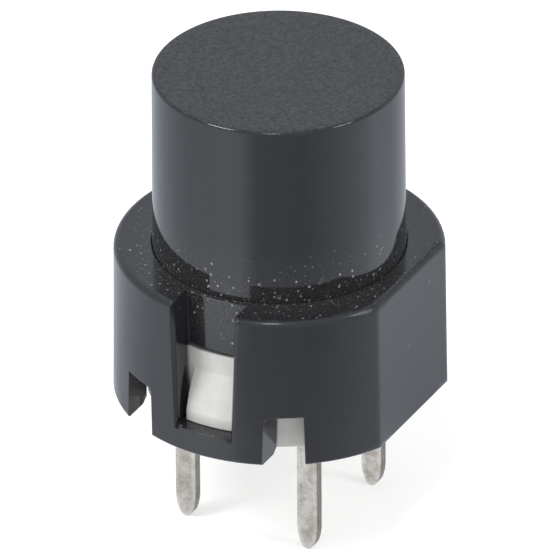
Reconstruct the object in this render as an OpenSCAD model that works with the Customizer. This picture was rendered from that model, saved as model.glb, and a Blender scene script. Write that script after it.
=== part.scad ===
// Round key switch for a printed circuit board: a black cover that snaps over a
// white base, a tall round button, a snap dome with its contacts, and four flat pins.
// All lengths are in millimetres. The origin is on the button's axis in the plane of
// the board, +Z is up, the snap windows face -Y and +Y, and the cover's flat faces +X.

/* [Cover] */
// Outside diameter of the cover at its foot
cover_d = 12.33; // [12:0.01:13]
// How much smaller the cover's radius is at its top
cover_draft = 0.075; // [0.02:0.005:0.1]
// Height of the cover above the board
cover_h = 5.9; // [5.6:0.05:7]
// Depth of the flat on the cover's side
flat_depth = 0.61; // [0.3:0.01:0.8]
// Wall of the cover around the base
skirt_wall = 1.05; // [0.95:0.05:1.15]
// Wall of the cover around the guide bore
guide_wall = 1.465; // [1.4:0.005:1.6]
// Wall of the cover behind its flat
flat_wall = 0.7; // [0.5:0.05:0.8]
// Height of the thick ring at the top that guides the button
guide_h = 2.17; // [1.9:0.05:2.3]
// Radius of the cover's upper outer edge
cover_edge_r = 0.12; // [0.05:0.01:0.2]
// Size of the bevel outside the cover's lower rim
foot_bevel = 0.07; // [0.04:0.01:0.12]
// Size of the bevel inside the cover's lower rim
rim_bevel = 0.2; // [0.1:0.05:0.3]

/* [Snap windows] */
// Width of a window at its sill
window_w = 2.3; // [2.1:0.05:2.6]
// How much wider a window is at the cover's top than at its sill
window_flare = 0.42; // [0:0.02:0.6]
// Offset of a window's middle from the cover's middle
window_x = 0.08; // [0:0.01:0.1]
// Height of a window's sill above the board
window_sill = 0.97; // [0.8:0.01:1.1]
// Thickness of the guide ring left behind a window
panel_t = 0.25; // [0.2:0.01:0.35]
// Size of the bevel along a window's upright edges
window_bevel = 0.12; // [0.05:0.01:0.2]

/* [Rim notches] */
// Width of a notch in the cover's lower rim
notch_w = 1.4; // [1:0.05:1.6]
// How much narrower a notch is at its top than at the rim
notch_taper = 0.12; // [0:0.02:0.2]
// Height of a notch
notch_h = 2.02; // [1.5:0.01:2.2]
// Distance of a notch's middle from the window's middle
notch_x = 2.97; // [2.7:0.02:3.1]
// Radius of the notch's upper corner next to the window
notch_r = 0.22; // [0.1:0.02:0.3]

/* [Base] */
// Height of the base's underside above the board
base_lift = 0.1; // [0:0.05:0.2]
// Clearance between the base and the cover's wall
base_gap = 0.17; // [0.1:0.01:0.2]
// Wall of the base's cup
base_wall = 0.78; // [0.7:0.02:0.85]
// Thickness of the base's floor
floor_t = 1.25; // [1.2:0.05:1.35]
// Clearance between the base's rim and the guide ring
rim_gap = 0.06; // [0.02:0.01:0.1]

/* [Snap hooks] */
// Width of a hook
hook_w = 1.9; // [1.6:0.05:2]
// How far a hook stands out over the sill
hook_reach = 0.49; // [0.35:0.01:0.6]
// Height of a hook's steep lower face
hook_face_h = 0.4; // [0.3:0.05:0.6]
// Height of a hook's sloping part
hook_slope_h = 1.5; // [1.2:0.05:1.7]
// Clearance between a hook and the sill
catch_gap = 0.02; // [0.01:0.01:0.05]

/* [Button cap] */
// How much smaller the cap's radius is at its top
cap_draft = 0.04; // [0.01:0.01:0.1]
// Height of the cap's top above the cover at rest
cap_rise = 7.18; // [6.5:0.01:8.5]
// Height of the skirt's edge above the cover at rest
skirt_gap = 0.5; // [0.4:0.01:0.8]
// Wall of the cap
cap_wall = 0.75; // [0.7:0.01:0.8]
// Thickness of the cap's top
cap_roof = 1.0; // [0.8:0.05:1.4]
// Radius of the cap's top edge
cap_edge_r = 0.12; // [0.05:0.01:0.2]
// Radius of the skirt's lower edge
skirt_edge_r = 0.6; // [0.4:0.01:0.64]
// Diameter of the post under the cap's top
post_d = 1.6; // [1.5:0.02:1.7]

/* [Cap arms] */
// Width of a clip arm
arm_w = 1.74; // [1.4:0.02:1.8]
// Thickness of a clip arm
arm_t = 0.55; // [0.5:0.01:0.6]
// Length of a clip arm below the skirt
arm_drop = 1.55; // [1.5:0.01:1.65]
// How far the hook at a clip arm's end reaches inwards
clip_reach = 0.18; // [0.12:0.01:0.2]
// Height of the hook at a clip arm's end
clip_h = 0.4; // [0.3:0.02:0.45]
// Turn of the clip arms away from the windows' middles, in degrees
arm_turn = 3.3; // [0:0.1:4]
// Radius where a clip arm leaves the skirt
arm_fillet_r = 0.28; // [0.1:0.01:0.3]

/* [Plunger] */
// Running clearance between the cap's arms and the guide bore
bore_gap = 0.05; // [0.04:0.01:0.08]
// Running clearance between the plunger and the guide bore
slide_gap = 0.06; // [0.05:0.01:0.1]
// Clearance between the plunger and the cap that is fitted on it
seat_gap = 0.05; // [0.02:0.01:0.06]
// Height of the plunger's upper boss above its shoulder
boss_h = 3.15; // [2.5:0.05:3.5]
// Wall of the upper boss
boss_wall = 0.8; // [0.6:0.05:1]
// Thickness of the web above the return spring
web_t = 1.1; // [1:0.02:1.2]
// Running clearance between the guide ring and the base's cup
cup_gap = 0.1; // [0.05:0.01:0.12]
// Wall of the guide ring
guide_ring_wall = 0.46; // [0.4:0.02:0.5]
// Width of a retaining lug
lug_w = 1.2; // [0.9:0.05:1.4]
// Height of a retaining lug
lug_h = 0.7; // [0.5:0.05:0.8]
// Clearance beside a retaining lug in its slot
lug_gap = 0.1; // [0.05:0.01:0.15]
// Clearance between a lug's tip and the cover's wall
lug_tip_gap = 0.13; // [0.1:0.01:0.2]

/* [Travel] */
// Travel of the button
travel = 0.5; // [0.45:0.01:0.54]
// Clearance left under the plunger when it is pressed
stop_gap = 0.05; // [0.03:0.01:0.1]

/* [Actuator pin] */
// Diameter of the actuator pin
pin_rod_d = 1.1; // [1:0.02:1.2]
// Diameter of the actuator pin's collar
collar_d = 1.7; // [1.6:0.02:1.8]
// Height of the collar
collar_h = 0.5; // [0.4:0.02:0.6]
// Running clearance around the actuator pin
pin_gap = 0.06; // [0.04:0.01:0.08]
// Wall of the tube that guides the actuator pin
tube_wall = 0.55; // [0.45:0.01:0.6]
// Height of the shoulder that carries the collar, above the dome's top
collar_rise = 2.8; // [2.7:0.05:3]
// Distance from the tube's lower end to the dome's top
tube_rise = 0.8; // [0.65:0.05:1]
// Gap between the actuator pin and the dome at rest
pretravel = 0.02; // [0.01:0.005:0.03]

/* [Springs] */
// Wire of the return spring
return_wire = 0.3; // [0.25:0.01:0.34]
// Turns of the return spring
return_turns = 5; // [4:1:6]
// Clearance around the return spring in the plunger
coil_gap = 0.09; // [0.06:0.01:0.12]
// Depth of the return spring's recess above the plunger's underside
recess_h = 0.75; // [0.5:0.05:0.9]
// Wire of the overtravel spring
over_wire = 0.2; // [0.16:0.01:0.22]
// Mean diameter of the overtravel spring
over_d = 1.3; // [1.25:0.01:1.4]
// Turns of the overtravel spring
over_turns = 8; // [6:1:9]
// Height of the overtravel spring
over_h = 3; // [2.6:0.1:3.2]

/* [Dome and contacts] */
// Diameter of the snap dome
dome_d = 4.1; // [4:0.05:4.2]
// Height of the snap dome
dome_h = 0.45; // [0.42:0.01:0.5]
// Thickness of the snap dome
dome_t = 0.08; // [0.06:0.01:0.1]
// Travel of the dome down to the centre contact
contact_gap = 0.3; // [0.25:0.01:0.32]
// Diameter of the centre contact's head
rivet_d = 1.1; // [0.9:0.05:1.2]
// Diameter of the centre contact's shank
shank_d = 0.6; // [0.5:0.02:0.7]
// Thickness of the contact plates
plate_t = 0.25; // [0.2:0.01:0.3]
// Width of a contact plate's strip
strip_w = 0.9; // [0.85:0.01:1]
// Length of a contact plate's strip beyond its pins' middles
strip_end = 0.36; // [0.3:0.02:0.4]
// Material of a contact plate outside its pins' slots
strip_edge = 0.13; // [0.1:0.01:0.16]
// Depth of the centre plate's top below the floor
plate_sink = 0.35; // [0.32:0.01:0.4]
// Width of the ring contact
ring_w = 0.6; // [0.5:0.02:0.7]
// How far the ring contact reaches past the dome
ring_margin = 0.1; // [0.08:0.01:0.15]
// Opening angle of the ring contact, in degrees
ring_gap_angle = 80; // [70:1:90]
// Width of the tongue that carries the centre contact
tongue_w = 0.9; // [0.8:0.05:1]
// Diameter of the tongue's round end
tongue_end_d = 1.5; // [1.4:0.05:1.6]
// Clearance around a contact plate in the base
plate_gap = 0.04; // [0.02:0.01:0.06]
// Thickness of the ring that retains the contacts
retainer_t = 0.3; // [0.25:0.01:0.35]
// Clearance around the retaining ring
retainer_gap = 0.1; // [0.05:0.01:0.15]

/* [Pins] */
// Distance between the pins' middles
pin_pitch = 5.08; // [4.9:0.02:5.1]
// Width of a pin
pin_w = 0.76; // [0.6:0.02:0.8]
// Thickness of a pin
pin_t = 0.42; // [0.3:0.02:0.5]
// Length of a pin below the board's top
pin_drop = 5.1; // [3.5:0.1:6]
// Length of a pin's tapered end
pin_taper = 1; // [0.8:0.05:1.2]
// Radius of a pin's tip
pin_tip_r = 0.27; // [0.2:0.01:0.3]
// Size of the bevel along a pin's edges
pin_bevel = 0.05; // [0.03:0.01:0.08]
// Width of a pin's anchoring shoulder inside the base
barb_w = 1.1; // [1:0.02:1.2]
// Height of a pin's anchoring shoulder
barb_h = 0.3; // [0.2:0.02:0.35]
// Height of the shoulder's lower edge above the board
barb_z = 0.4; // [0.35:0.01:0.45]
// Width of a pin's tenon in the contact plate
tenon_w = 0.5; // [0.4:0.02:0.56]

/* [Hidden] */
$fn = 96;

// Reach of a cut past the faces that it opens
cut = 1;

// Cover
cover_r = cover_d / 2;
cover_lean = atan(cover_draft / cover_h);
flat_x = cover_r - flat_depth;
guide_r = cover_r - guide_wall;
ledge_z = cover_h - guide_h;
cavity_r = cover_r - skirt_wall;
cavity_flat_x = flat_x - flat_wall;
window_back_r = guide_r + panel_t;

// Base
base_r = cavity_r - base_gap;
base_flat_x = cavity_flat_x - base_gap;
base_top_z = ledge_z - rim_gap;
floor_z = base_lift + floor_t;
cup_r = base_r - base_wall;
hook_z = window_sill + catch_gap;
hook_r = cavity_r + hook_reach;

// Button cap
cap_r = guide_r - bore_gap;
cap_inner_r = cap_r - cap_wall;
skirt_z = cover_h + skirt_gap;
cap_top_z = cover_h + cap_rise;
roof_z = cap_top_z - cap_roof;
draft_z = skirt_z + skirt_edge_r;
draft_angle = atan(cap_draft / (cap_top_z - draft_z));
arm_end_z = skirt_z - arm_drop;
arm_inner_r = cap_r - arm_t;
post_r = post_d / 2;

// Plunger
body_r = guide_r - slide_gap;
body_foot_z = base_top_z + travel + 2 * rim_gap;
boss_r = cap_inner_r - seat_gap;
boss_top_z = skirt_z + boss_h;
guide_ring_r = cup_r - cup_gap;
coil_recess_r = guide_ring_r - guide_ring_wall;
return_r = coil_recess_r - coil_gap - return_wire / 2;
coil_top_z = body_foot_z + recess_h;
retainer_top_z = floor_z + retainer_t;
plunger_foot_z = retainer_top_z + travel + stop_gap;
lug_r = cavity_r - lug_tip_gap;
lug_foot_z = ledge_z - lug_h;
LUG_ANGLES = [45, 135, 225, 315];

// Dome, actuator pin and overtravel spring
dome_r = dome_d / 2;
dome_top_z = floor_z + dome_h;
rod_r = pin_rod_d / 2;
tube_bore_r = rod_r + pin_gap;
chamber_r = collar_d / 2 + pin_gap;
tube_r = chamber_r + tube_wall;
tube_foot_z = dome_top_z + tube_rise;
tip_z = dome_top_z + pretravel;
collar_z = dome_top_z + collar_rise;
over_foot_z = collar_z + collar_h;
over_top_z = over_foot_z + over_h;
spigot_r = over_d / 2 - over_wire / 2 - pin_gap;

// Contacts
retainer_r = cup_r - retainer_gap;
strip_l = pin_pitch + 2 * strip_end;
plate_r = norm([pin_pitch + tenon_w, pin_pitch + pin_t]) / 2 + strip_edge;
ring_r = dome_r + ring_margin;
ring_plate_z = floor_z - plate_t;
centre_plate_z = ring_plate_z - plate_sink;
contact_top_z = dome_top_z - dome_t - contact_gap;
SIDES = [-1, 1];

// Finishes
BLACK = "#303134";
WHITE = "#eceae4";
DARK = "#26272a";
STEEL = "#b9bcc0";
SILVER = "#d4d4d0";
TIN = "#c5bdb4";
AMBER = "#c9b48a";

// ---- Shared shapes ----

// Waste outside a round corner of radius r about the point c, between two directions
module corner_waste(c, r, from, to) {
    reach = 3 * r;
    mid = (from + to) / 2;
    difference() {
        polygon([c,
                 c + reach * [cos(from), sin(from)],
                 c + 2 * reach * [cos(mid), sin(mid)],
                 c + reach * [cos(to), sin(to)]]);
        translate(c) circle(r);
    }
}

// Disc of radius r with a flat at x = flat
module flatted_disc(r, flat) {
    intersection() {
        circle(r);
        translate([-r - cut, -r - cut]) square([r + cut + flat, 2 * (r + cut)]);
    }
}

// Distance from the axis of a wall that starts at x and leans inwards, at the height z
function leaning(x, lean, z) = x - z * tan(lean);

// Middle of a round corner of radius r inside such a wall
function corner_middle(x, lean, z, r) = [leaning(x, lean, z) - r / cos(lean), z];

// Section of height h from the axis out to a leaning wall, with its outer corner
// bevelled at the bottom and rounded at the top
module wall_section(x, h, lean, bevel, edge) {
    difference() {
        polygon([[0, 0], [x - bevel, 0], [leaning(x, lean, bevel), bevel],
                 [leaning(x, lean, h), h], [0, h]]);
        corner_waste(corner_middle(x, lean, h - edge, edge), edge, lean, 90);
    }
}

// Extrudes an outline drawn in x and z along y, from y0 to y1
module extrude_y(y0, y1) {
    translate([0, y1, 0]) rotate([90, 0, 0]) linear_extrude(y1 - y0) children();
}

// Ring between two radii and two heights
module ring(r_out, r_in, z0, z1) {
    translate([0, 0, z0]) difference() {
        cylinder(r = r_out, h = z1 - z0);
        translate([0, 0, -cut]) cylinder(r = r_in, h = z1 - z0 + 2 * cut);
    }
}

// Slab of width w that reaches out from the axis towards -Y
module spoke(w, reach, z0, z1) {
    translate([-w / 2, -reach, z0]) cube([w, reach, z1 - z0]);
}

// Repeats a shape that faces -Y on the opposite side
module front_and_back() {
    for (turn = [0, 180]) rotate([0, 0, turn]) children();
}

// ---- Cover ----

// One window: open at the top, down to the sill, back to the guide ring
module window_cut() {
    low = window_w / 2;
    high = low + window_flare / 2 * (cover_h + cut - window_sill) / (cover_h - window_sill);
    difference() {
        extrude_y(-cover_r - cut, 0) translate([window_x, 0])
            polygon([[-low, window_sill], [low, window_sill],
                     [high, cover_h + cut], [-high, cover_h + cut]]);
        translate([0, 0, -cut]) cylinder(r = window_back_r, h = cover_h + 3 * cut);
    }
    for (side = SIDES)
        window_edge_bevel(window_x + side * low, window_x + side * (low + window_flare / 2));
}

// Bevel along a window's upright edge, which leans with the window's side
module window_edge_bevel(x_low, x_high) {
    r_low = leaning(cover_r, cover_lean, window_sill);
    r_high = leaning(cover_r, cover_lean, cover_h);
    start = [x_low, -sqrt(pow(r_low, 2) - pow(x_low, 2)), window_sill];
    end = [x_high, -sqrt(pow(r_high, 2) - pow(x_high, 2)), cover_h];
    v = end - start;
    lean = acos(v.z / norm(v));
    heading = atan2(v.y, v.x);
    translate(start) rotate([0, lean, heading]) rotate([0, 0, -heading + 45])
        translate([0, 0, norm(v) / 2])
            cube([window_bevel * sqrt(2), window_bevel * sqrt(2), norm(v) + 2 * window_bevel],
                 center = true);
}

// One notch in the rim, cut along y through the wall
module notch_cut() {
    low = notch_w / 2;
    high = low - notch_taper / 2;
    lean = atan((low - high) / notch_h);
    extrude_y(-cover_r - cut, -cavity_r / 2) translate([notch_x, 0]) difference() {
        polygon([[-low, -cut], [low, -cut], [low, 0], [high, notch_h],
                 [-high, notch_h], [-low, 0]]);
        mirror([1, 0])
            corner_waste(corner_middle(low, lean, notch_h - notch_r, notch_r), notch_r, lean, 90);
    }
}

// The space for the base, with a bevel at the rim that leads it in
module cavity_cut() {
    translate([0, 0, -cut]) linear_extrude(ledge_z + cut)
        flatted_disc(cavity_r, cavity_flat_x);
    intersection() {
        translate([0, 0, -cut])
            cylinder(r1 = cavity_r + rim_bevel + cut, r2 = cavity_r, h = rim_bevel + cut);
        extrude_y(-cover_r, cover_r)
            polygon([[-cover_r - cut, -cut], [cavity_flat_x + rim_bevel + cut, -cut],
                     [cavity_flat_x, rim_bevel], [-cover_r - cut, rim_bevel]]);
    }
}

module cover() {
    color(BLACK) difference() {
        intersection() {
            rotate_extrude()
                wall_section(cover_r, cover_h, cover_lean, foot_bevel, cover_edge_r);
            extrude_y(-cover_r - cut, cover_r + cut) {
                wall_section(flat_x, cover_h, cover_lean, foot_bevel, cover_edge_r);
                translate([-cover_r - cut, 0]) square([cover_r + 2 * cut, cover_h]);
            }
        }
        cylinder(r = guide_r, h = cover_h + cut);
        cavity_cut();
        front_and_back() {
            window_cut();
            for (side = [0, 1]) mirror([side, 0, 0]) notch_cut();
        }
    }
}

// ---- Base ----

// Section of the ring from which a hook is cut: steep face, slope and undercut
module hook_section() {
    face_z = hook_z + hook_face_h;
    slope_mid = [base_r + 0.68 * (hook_r - base_r), face_z + 0.4 * hook_slope_h];
    polygon([[cup_r + base_wall / 2, hook_z], [hook_r, hook_z], [hook_r - 0.02, face_z],
             slope_mid, [base_r, face_z + hook_slope_h],
             [cup_r + base_wall / 2, face_z + hook_slope_h]]);
}

module base() {
    color(WHITE) difference() {
        union() {
            translate([0, 0, base_lift]) linear_extrude(base_top_z - base_lift)
                flatted_disc(base_r, base_flat_x);
            intersection() {
                rotate_extrude() hook_section();
                front_and_back() spoke(hook_w, cover_r, 0, cover_h);
            }
        }
        translate([0, 0, floor_z]) cylinder(r = cup_r, h = cover_h);
        for (angle = LUG_ANGLES) rotate([0, 0, angle]) lug_slot();
        plate_pocket(ring_plate_z) ring_plate_outline(plate_gap);
        plate_pocket(centre_plate_z) centre_plate_outline(plate_gap);
        for (x = SIDES, y = SIDES) terminal(x, y);
    }
}

// Slot in the cup's wall for one lug of the plunger, over its whole travel
module lug_slot() {
    spoke(lug_w + 2 * lug_gap, cover_r, lug_foot_z - travel - stop_gap, cover_h);
}

// Pocket in the floor, from the height z up
module plate_pocket(z) {
    translate([0, 0, z]) linear_extrude(floor_z - z + cut / 10) children();
}

// ---- Button ----

// Half section of the cap: upright up to the round lower edge, and drafted above it
module cap_section() {
    side_h = cap_top_z - draft_z;
    difference() {
        union() {
            translate([0, skirt_z]) square([cap_r, skirt_edge_r]);
            translate([0, draft_z]) difference() {
                polygon([[0, 0], [cap_r, 0], [leaning(cap_r, draft_angle, side_h), side_h],
                         [0, side_h]]);
                corner_waste(corner_middle(cap_r, draft_angle, side_h - cap_edge_r, cap_edge_r),
                             cap_edge_r, draft_angle, 90);
            }
        }
        corner_waste([cap_r - skirt_edge_r, draft_z], skirt_edge_r, -90, 0);
        translate([0, skirt_z - cut]) square([cap_inner_r, roof_z - skirt_z + cut]);
    }
}

// One clip arm with its hook, and the fillets where it leaves the skirt
module clip_arm() {
    intersection() {
        ring(cap_r, arm_inner_r, arm_end_z, draft_z);
        union() {
            spoke(arm_w, cover_r, 0, cap_top_z);
            extrude_y(-cover_r, 0) for (side = [0, 1]) mirror([side, 0]) arm_fillet();
        }
    }
    intersection() {
        ring(arm_inner_r + arm_t / 2, arm_inner_r - clip_reach, arm_end_z, arm_end_z + clip_h);
        spoke(arm_w, cover_r, 0, cap_top_z);
    }
}

// Concave corner between the arm's side and the skirt's edge
module arm_fillet() {
    translate([arm_w / 2, skirt_z - arm_fillet_r]) difference() {
        translate([-arm_fillet_r, 0]) square([2 * arm_fillet_r, arm_fillet_r + skirt_edge_r]);
        translate([arm_fillet_r, 0]) circle(arm_fillet_r);
    }
}

module button_cap() {
    rib_t = cap_wall * 0.7;
    rib_h = 1.6 * cap_roof;
    color(BLACK) {
        rotate_extrude() cap_section();
        rotate([0, 0, arm_turn]) front_and_back() clip_arm();
        translate([0, 0, over_top_z]) cylinder(r = post_r, h = roof_z - over_top_z);
        for (angle = LUG_ANGLES) rotate([0, 0, angle])
            spoke(rib_t, cap_inner_r, roof_z - rib_h, roof_z);
    }
}

// Half section of the plunger
module plunger_section() {
    difference() {
        union() {
            translate([0, body_foot_z]) square([body_r, skirt_z - body_foot_z]);
            translate([0, body_foot_z]) square([boss_r, boss_top_z - body_foot_z]);
            translate([0, plunger_foot_z])
                square([guide_ring_r, body_foot_z - plunger_foot_z]);
        }
        translate([tube_r, 0]) square([coil_recess_r - tube_r, coil_top_z]);
        translate([0, 0]) square([tube_r + cut / 10, tube_foot_z]);
        translate([tube_r, coil_top_z + web_t])
            square([boss_r - boss_wall - tube_r, boss_top_z]);
        square([tube_bore_r, boss_top_z + cut]);
        translate([0, collar_z]) square([chamber_r, boss_top_z]);
    }
}

// Seat for one clip arm in the plunger's side, with the undercut for its hook
module arm_seat() {
    w = arm_w + 2 * seat_gap;
    difference() {
        spoke(w, cover_r, arm_end_z - seat_gap, skirt_z + cut);
        cylinder(r = arm_inner_r - seat_gap, h = cap_top_z);
    }
    difference() {
        spoke(w, cover_r, arm_end_z - seat_gap, arm_end_z + clip_h + seat_gap);
        cylinder(r = arm_inner_r - clip_reach - seat_gap, h = cap_top_z);
    }
}

module plunger() {
    color(DARK) difference() {
        union() {
            rotate_extrude() plunger_section();
            for (angle = LUG_ANGLES) rotate([0, 0, angle]) intersection() {
                ring(lug_r, coil_recess_r, lug_foot_z, ledge_z);
                spoke(lug_w, cover_r, lug_foot_z, ledge_z);
            }
        }
        rotate([0, 0, arm_turn]) front_and_back() arm_seat();
    }
}

module actuator_pin() {
    color(WHITE) {
        translate([0, 0, tip_z]) cylinder(r = rod_r, h = collar_z - tip_z);
        translate([0, 0, collar_z]) cylinder(d = collar_d, h = collar_h);
        translate([0, 0, over_foot_z]) cylinder(r = spigot_r, h = 2 * over_wire);
    }
}

// ---- Springs ----

// Height share of a coil at the turn t of n turns, with one close turn at each end
function coil_rise(t, n, close, h) =
    let (open = (h - 2 * close) / (n - 2))
    t < 1 ? close * t : t > n - 1 ? h - close * (n - t) : close + open * (t - 1);

// Compression spring between two heights, swept as one closed mesh
module coil(mean_r, wire, turns, z0, z1, steps, sides) {
    close = 1.1 * wire;
    rise = z1 - z0 - wire;
    count = turns * steps;
    points = [for (i = [0:count], j = [0:sides - 1])
        let (t = i / steps, a = 360 * t, b = 360 * j / sides,
             r = mean_r + wire / 2 * cos(b))
        [r * cos(a), r * sin(a),
         z0 + wire / 2 + coil_rise(t, turns, close, rise) + wire / 2 * sin(b)]];
    skin = [for (i = [0:count - 1], j = [0:sides - 1])
        let (k = (j + 1) % sides)
        [i * sides + j, (i + 1) * sides + j, (i + 1) * sides + k, i * sides + k]];
    ends = [[for (j = [0:sides - 1]) j],
            [for (j = [sides - 1:-1:0]) count * sides + j]];
    polyhedron(points, concat(skin, ends), convexity = 10);
}

module return_spring() {
    color(STEEL) coil(return_r, return_wire, return_turns, retainer_top_z, coil_top_z,
                      28, 8);
}

module overtravel_spring() {
    color(STEEL) coil(over_d / 2, over_wire, over_turns, over_foot_z, over_top_z, 16, 6);
}

// ---- Dome and contacts ----

module snap_dome() {
    sphere_r = (pow(dome_r, 2) + pow(dome_h, 2)) / (2 * dome_h);
    color(STEEL) rotate_extrude() intersection() {
        translate([0, dome_top_z - sphere_r]) difference() {
            circle(sphere_r);
            circle(sphere_r - dome_t);
        }
        translate([0, floor_z]) square([dome_r + cut, dome_h + cut]);
    }
}

// Outline of a strip that joins the two pins on one side
module strip_outline(side, gap) {
    intersection() {
        translate([side * pin_pitch / 2, 0])
            square([strip_w + 2 * gap, strip_l + 2 * gap], center = true);
        circle(plate_r + gap);
    }
}

// Outline of the plate whose open ring carries the dome
module ring_plate_outline(gap) {
    half = ring_gap_angle / 2;
    far = 2 * ring_r;
    strip_outline(1, gap);
    difference() {
        circle(ring_r + gap);
        circle(ring_r - ring_w - gap);
        polygon([[0, 0], far * [-cos(half), sin(half)], [-far * 2, 0],
                 far * [-cos(half), -sin(half)]]);
    }
}

// Outline of the plate whose tongue carries the centre contact
module centre_plate_outline(gap) {
    strip_outline(-1, gap);
    translate([-pin_pitch / 2, -tongue_w / 2 - gap]) square([pin_pitch / 2, tongue_w + 2 * gap]);
    circle(tongue_end_d / 2 + gap);
}

// Plate with the slots for its two pins' tenons
module contact_plate(side, z) {
    difference() {
        translate([0, 0, z]) linear_extrude(plate_t) children();
        for (y = SIDES) terminal(side, y);
    }
}

module ring_contact_plate() {
    color(SILVER) contact_plate(1, ring_plate_z) ring_plate_outline(0);
}

module centre_contact_plate() {
    color(SILVER) difference() {
        contact_plate(-1, centre_plate_z) centre_plate_outline(0);
        translate([0, 0, centre_plate_z - cut]) cylinder(d = shank_d, h = plate_t + 2 * cut);
    }
}

module centre_contact() {
    head_z = centre_plate_z + plate_t;
    color(SILVER) {
        translate([0, 0, centre_plate_z]) cylinder(d = shank_d, h = plate_t);
        translate([0, 0, head_z]) cylinder(d = rivet_d, h = contact_top_z - head_z);
    }
}

module retaining_ring() {
    color(AMBER) ring(retainer_r, ring_r, floor_z, retainer_top_z);
}

// ---- Pins ----

// Outline of a pin's blade in x and z, with its tapered round tip
module blade_outline(top) {
    tip_z = -pin_drop + pin_tip_r;
    translate([0, tip_z]) circle(pin_tip_r);
    polygon([[-pin_tip_r, tip_z], [pin_tip_r, tip_z],
             [pin_w / 2, -pin_drop + pin_taper], [pin_w / 2, top],
             [-pin_w / 2, top], [-pin_w / 2, -pin_drop + pin_taper]]);
}

// Rectangle with bevelled corners
module bevelled_rectangle(w, t, bevel) {
    x = w / 2;
    y = t / 2;
    polygon([[x - bevel, -y], [x, -y + bevel], [x, y - bevel], [x - bevel, y],
             [-x + bevel, y], [-x, y - bevel], [-x, -y + bevel], [-x + bevel, -y]]);
}

// One pin: a flat blade, an anchoring shoulder in the base, a tenon in its plate
module terminal(side_x, side_y) {
    plate_top_z = (side_x > 0 ? ring_plate_z : centre_plate_z) + plate_t;
    translate([side_x * pin_pitch / 2, side_y * pin_pitch / 2, 0]) {
        intersection() {
            extrude_y(-pin_t / 2, pin_t / 2) blade_outline(barb_z);
            translate([0, 0, -pin_drop - cut]) linear_extrude(pin_drop + barb_z + cut)
                bevelled_rectangle(pin_w, pin_t, pin_bevel);
        }
        translate([-barb_w / 2, -pin_t / 2, barb_z]) cube([barb_w, pin_t, barb_h]);
        translate([-tenon_w / 2, -pin_t / 2, barb_z])
            cube([tenon_w, pin_t, plate_top_z - barb_z]);
    }
}

module pin_front_left() { color(TIN) terminal(-1, -1); }
module pin_front_right() { color(TIN) terminal(1, -1); }
module pin_rear_left() { color(TIN) terminal(-1, 1); }
module pin_rear_right() { color(TIN) terminal(1, 1); }

cover();
base();
button_cap();
plunger();
return_spring();
actuator_pin();
overtravel_spring();
snap_dome();
ring_contact_plate();
centre_contact_plate();
centre_contact();
retaining_ring();
pin_front_left();
pin_front_right();
pin_rear_left();
pin_rear_right();
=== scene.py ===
import math

import bmesh
import bpy
from mathutils import Matrix, Vector


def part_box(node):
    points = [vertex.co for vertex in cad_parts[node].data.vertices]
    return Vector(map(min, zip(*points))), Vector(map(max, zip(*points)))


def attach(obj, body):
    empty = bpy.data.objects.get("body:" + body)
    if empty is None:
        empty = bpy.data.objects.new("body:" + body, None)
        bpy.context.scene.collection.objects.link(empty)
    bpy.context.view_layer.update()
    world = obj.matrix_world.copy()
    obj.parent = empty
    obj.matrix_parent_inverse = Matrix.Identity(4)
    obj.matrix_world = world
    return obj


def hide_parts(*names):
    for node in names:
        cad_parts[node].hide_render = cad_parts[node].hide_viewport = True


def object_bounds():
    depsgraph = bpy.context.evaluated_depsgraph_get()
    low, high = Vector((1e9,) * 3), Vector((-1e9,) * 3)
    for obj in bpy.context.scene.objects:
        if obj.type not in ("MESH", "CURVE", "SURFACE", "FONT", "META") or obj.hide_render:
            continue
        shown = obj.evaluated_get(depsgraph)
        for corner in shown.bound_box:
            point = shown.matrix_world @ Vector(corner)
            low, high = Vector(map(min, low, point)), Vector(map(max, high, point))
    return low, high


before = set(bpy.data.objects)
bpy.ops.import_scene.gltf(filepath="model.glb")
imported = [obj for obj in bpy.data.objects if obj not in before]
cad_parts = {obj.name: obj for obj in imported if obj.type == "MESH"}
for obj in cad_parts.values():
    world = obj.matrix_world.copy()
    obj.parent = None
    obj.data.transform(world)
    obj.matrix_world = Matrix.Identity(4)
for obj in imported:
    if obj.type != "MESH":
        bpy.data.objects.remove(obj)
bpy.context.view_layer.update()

MM = 0.001


# ---- View ----

VIEW_AZIMUTH = 28.217
VIEW_ELEVATION = 30.820
VIEW_ROLL = -0.416
VIEW_DISTANCE = 450 * MM
VIEW_SCALE = 27.107           # pixels to a millimetre at the aim point
AIM = Vector((0, 0, 0))
AIM_PIXEL = (280.37, 379.88)  # where the aim point lies in the picture, from its top left
IMAGE = 560.0                 # its width and height in pixels
SENSOR = 36.0
CLIP_NEAR, CLIP_FAR = 0.01, 10


def direction(azimuth, elevation):
    """Unit vector from the object towards that azimuth and elevation."""
    a, e = math.radians(azimuth), math.radians(elevation)
    return Vector((math.sin(a) * math.cos(e), -math.cos(a) * math.cos(e), math.sin(e)))


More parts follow.
